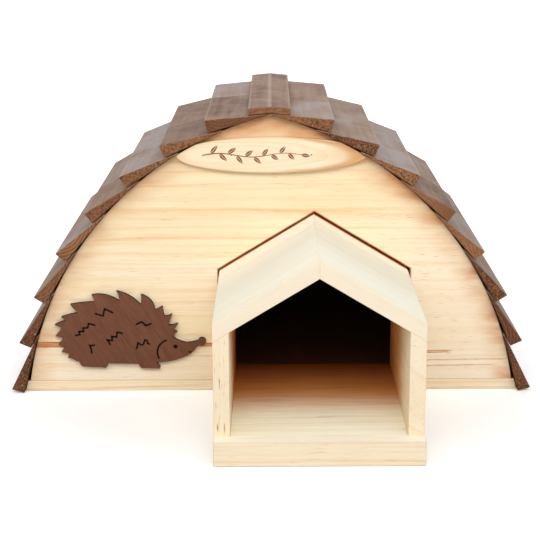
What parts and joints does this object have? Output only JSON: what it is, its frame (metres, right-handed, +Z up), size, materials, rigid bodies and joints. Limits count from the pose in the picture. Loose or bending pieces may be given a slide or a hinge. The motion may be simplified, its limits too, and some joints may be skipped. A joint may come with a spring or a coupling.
{
  "type": "hedgehog house",
  "caption": "Arched wooden hedgehog house with a lapped slat roof, a gabled entrance tunnel with a threshold, an oval plaque and a hedgehog ornament.",
  "frame": {"origin": "on the ground under the middle of the whole object", "axes": "+Z up, +X to the right as the house is seen from its entrance, -Y out of the entrance"},
  "size_m": [0.4334, 0.3825, 0.2392],
  "materials": {
    "pine": "planed, unfinished",
    "tunnel_pine": "planed, unfinished",
    "roof_wood": "grey-brown wash on rough wood",
    "stained_ply": "dark brown stain on sawn plywood",
    "plaque_ply": "planed, unfinished",
    "nail_steel": "dull zinc"
  },
  "bodies": {
    "root": {"floor_board": "pine", "front_panel": "pine", "rear_panel": "pine", "slat_left_1": "roof_wood", "slat_left_2": "roof_wood", "slat_left_3": "roof_wood", "slat_left_4": "roof_wood", "slat_left_5": "roof_wood", "slat_left_6": "roof_wood", "slat_left_7": "roof_wood", "slat_left_8": "roof_wood", "slat_right_1": "roof_wood", "slat_right_2": "roof_wood", "slat_right_3": "roof_wood", "slat_right_4": "roof_wood", "slat_right_5": "roof_wood", "slat_right_6": "roof_wood", "slat_right_7": "roof_wood", "slat_right_8": "roof_wood", "ridge_batten": "roof_wood", "tunnel_floor": "tunnel_pine", "tunnel_wall_left": "tunnel_pine", "tunnel_wall_right": "tunnel_pine", "tunnel_roof_left": "tunnel_pine", "tunnel_roof_right": "tunnel_pine", "threshold": "tunnel_pine", "oval_plaque": "plaque_ply", "hedgehog_cutout": "stained_ply", "slat_nails": "nail_steel", "ridge_nails": "nail_steel", "foot_nails": "nail_steel", "tunnel_wall_nails": "nail_steel", "tunnel_tongue_nails": "nail_steel", "plaque_pins": "nail_steel"}
  },
  "joints": []
}
